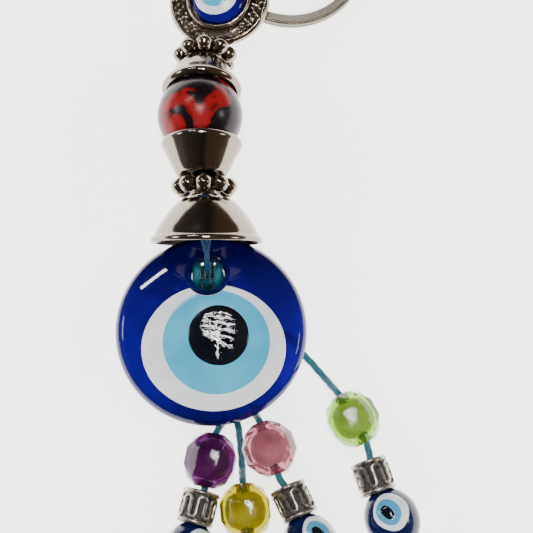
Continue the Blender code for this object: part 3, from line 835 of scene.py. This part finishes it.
def granules():
    """Cast nuggets that fill the band except at the smooth part."""
    random.seed(11)
    made = bmesh.new()
    for row, (radius, count) in enumerate(((8.35, 44), (7.6, 38), (6.9, 36))):
        for i in range(count):
            turn = 2 * math.pi * (i + 0.5 * row + random.uniform(-0.25, 0.25)) / count
            if abs((turn + math.pi / 2 + math.pi) % (2 * math.pi) - math.pi) < SCOOP:
                continue
            size = random.uniform(0.46, 0.72)
            start = len(made.verts)
            reach = (radius + random.uniform(-0.12, 0.12)) * blunt(turn, radius)
            bmesh.ops.create_icosphere(made, subdivisions=2, radius=size)
            made.verts.ensure_lookup_table()
            squash = (random.uniform(0.85, 1.25), random.uniform(0.85, 1.2), random.uniform(0.7, 1.0))
            seed = random.uniform(0, 50)
            for vert in made.verts[start:]:
                lump = 1 + 0.22 * noise.noise(vert.co * 2.2 + Vector((seed, 0, 0)))
                vert.co = Vector(c * s for c, s in zip(vert.co * lump, squash))
                vert.co += Vector((reach * math.cos(turn), reach * math.sin(turn), 0.72))
    return made


def flat_spot(x, y, half_width, half_height, height, thickness=0.3):
    """A thin layer of the cabochon, following its dome."""
    bm = bmesh.new()
    rings = []
    for step in range(10):
        share = min(step / 8, 1.0)
        ring = []
        for k in range(56 if step else 1):
            t = 2 * math.pi * k / 56
            px, py = x + half_width * share * math.cos(t), y + half_height * share * math.sin(t)
            low = height * math.sqrt(max(0.0, 1 - share ** 8)) if step < 9 else -thickness
            ring.append(bm.verts.new((px, py, cabochon(math.hypot(px, py)) + low)))
        rings.append(ring)
    join_rings(bm, rings)
    bm.faces.new(rings[-1])
    return bm


def cabochon(r):
    return 1.3 + 1.9 * math.sqrt(max(0.0, 1 - (r / 5.2) ** 2))


def cabochon_parts():
    profile = [(5.1 * i / 20, cabochon(5.1 * i / 20)) for i in range(21)]
    return [(lathe([*profile, (5.1, 0.6), (0, 0.6)], 72, closed=False), "cobalt"),
            (flat_spot(-0.3, 0.35, 4.25, 4.2, 0.05), "white"),
            (flat_spot(-0.45, 0.5, 3.1, 3.05, 0.11), "light_blue"),
            (flat_spot(-0.55, 0.6, 1.5, 1.5, 0.17), "black")]


link_at = Vector(JOINTS["link_swing"]["pos_m"])
eyelet_at = link_at + Vector((0, 0, 0.35)) * MM


def wire_ring(radius, wire):
    turns = [2 * math.pi * i / 96 for i in range(96)]
    return sweep([Vector((radius * math.cos(t), radius * math.sin(t), 0)) for t in turns],
                 lambda *_: circle(wire, 16), loop=True)


def eyelet_bm():
    eyelet = wire_ring(1.6, 0.55)
    bmesh.ops.transform(eyelet, matrix=Matrix.Rotation(math.radians(90), 4, "Y"), verts=eyelet.verts)
    shift = (pendant_place.inverted() @ eyelet_at) / MM
    into_pendant = Matrix.Translation(shift) @ pendant_turn.inverted()
    bmesh.ops.transform(eyelet, matrix=into_pendant, verts=eyelet.verts)
    return eyelet


put("cast_pendant", [(bm, "pendant") for bm in (pendant_bm(), granules(), eyelet_bm())], pendant_place,
    "pendant", ["pendant_frame"])
put("cabochon", cabochon_parts(), pendant_place, "pendant", ["pendant_eye"])
JUMP_R = 2.6
jump_place = Matrix.Translation(link_at - Vector((0, 0, JUMP_R)) * MM) @ Matrix.Rotation(math.radians(90), 4, "X")
put("jump_ring_wire", [(wire_ring(JUMP_R, 0.5), "ring")], jump_place, "link", ["jump_ring"])


def split_ring_parts():
    """Flat wire wound twice round; the outer strip of its face is a lighter, warmer tone."""
    per_turn, start, step_turn = 144, 191.0, 12
    body, strip = [], []
    for i in range(2 * per_turn - step_turn + 1):
        turn = math.radians(start + 360.0 * i / per_turn)
        climb = min(1.0, max(0.0, (i - (per_turn - step_turn)) / step_turn))
        climb = climb * climb * (3 - 2 * climb)
        low = climb * 1.1
        body.append((turn, low, ((13.0, 0.12), (13.12, 0.0), (14.88, 0.0), (15.0, 0.12), (15.0, 0.86),
                                 (14.86, 0.99), (13.14, 0.99), (13.0, 0.86))))
        # the outer strip of the face, in a lighter, warmer tone
        strip.append((turn, low, ((14.4, 0.9), (14.84, 0.9), (14.84, 1.01), (14.44, 1.01))))
    made = []
    for sections in (body, strip):
        bm = bmesh.new()
        rings = [[bm.verts.new((r * math.cos(t), r * math.sin(t), low + h)) for r, h in shape]
                 for t, low, shape in sections]
        join_rings(bm, rings)
        bm.faces.new(rings[0])
        bm.faces.new(rings[-1])
        made.append(bm)
    return [(made[0], "ring"), (made[1], "ring_edge")]


ring_axis = Vector(JOINTS["key_ring_turn"]["axis"]).normalized()
ring_at = Vector(JOINTS["key_ring_turn"]["pos_m"]) - ring_axis * 1.05 * MM
ring_place = Matrix.Translation(ring_at) @ Matrix.Rotation(math.asin(ring_axis.x), 4, "Y")
put("split_ring_wire", split_ring_parts(), ring_place, "key_ring", ["split_ring"], sharp=30)


# ---- floor and light ----

WARM, NEAR_WHITE, WHITE = (1.0, 0.97, 0.92), (1.0, 0.98, 0.96), (1, 1, 1)


def make_floor():
    bm = bmesh.new()
    bmesh.ops.create_grid(bm, x_segments=2, y_segments=2, size=3.0)
    mesh = bpy.data.meshes.new("floor")
    bm.to_mesh(mesh)
    bm.free()
    floor = bpy.data.objects.new("floor", mesh)
    bpy.context.collection.objects.link(floor)
    mesh.materials.append(grained("pale_board", (0.90, 0.895, 0.885), (0.94, 0.937, 0.93), 700, (0.9, 0.8),
                                  (0.05, 0.02), Emission_Color=(1.0, 0.992, 0.975), Emission_Strength=2.6))


def softbox(name, place, aim, size, power, colour=WHITE, mirrored=True):
    """An area light; one that isn't mirrored lights the pieces without showing in their gloss."""
    light = bpy.data.lights.new(name, "AREA")
    light.shape = "RECTANGLE"
    light.size, light.size_y = size
    light.energy = power
    light.color = colour
    item = bpy.data.objects.new(name, light)
    item.location = place
    item.rotation_euler = (Vector(place) - Vector(aim)).to_track_quat("Z", "Y").to_euler()
    item.visible_glossy = mirrored
    bpy.context.collection.objects.link(item)


def make_world():
    world = bpy.data.worlds.new("studio")
    bpy.context.scene.world = world
    world.use_nodes = True
    tree = world.node_tree
    where = tree.nodes.new("ShaderNodeTexCoord")
    split = tree.nodes.new("ShaderNodeSeparateXYZ")
    tree.links.new(where.outputs["Generated"], split.inputs["Vector"])
    spread = tree.nodes.new("ShaderNodeMapRange")
    spread.inputs["From Min"].default_value = -1
    tree.links.new(split.outputs["X"], spread.inputs["Value"])
    sky = ramp(tree, spread.outputs["Result"],
               [(0.0, (0.30, 0.29, 0.28)), (0.15, (0.10, 0.09, 0.085)), (0.55, (0.03, 0.027, 0.025)),
                (0.66, (0.13, 0.085, 0.055)), (0.92, (0.16, 0.11, 0.075)), (1.0, (0.3, 0.28, 0.26))])
    tree.links.new(sky, tree.nodes["Background"].inputs["Color"])


make_floor()
make_world()
centre = at(0, 5, 5)
for name, offset, size, power, colour, mirrored in (
        ("window", (-0.29, 0.41, 0.55), (0.26, 0.015), 0.8, WHITE, True),
        ("left_glint", (-0.62, 0.12, 0.33), (0.16, 0.14), 0.8, WHITE, True),
        ("right_glint", (0.62, 0.0, 0.33), (0.16, 0.14), 0.6, WHITE, True),
        ("left_box", (-0.75, 0.05, 0.32), (0.8, 0.45), 4.8, WARM, False),
        ("right_box", (0.75, -0.05, 0.32), (0.8, 0.45), 4.2, NEAR_WHITE, False),
        ("fill", (0.0, -0.6, 0.75), (0.9, 0.6), 8.5, WHITE, False)):
    softbox(name, centre + Vector(offset), centre, size, power, colour, mirrored)
for strip in range(7):  # a slatted lamp, seen in the pupil
    softbox(f"strip_{strip}", centre + Vector((0.02, 0.037 * strip, 0.75)), centre, (0.2, 0.003), 0.4)
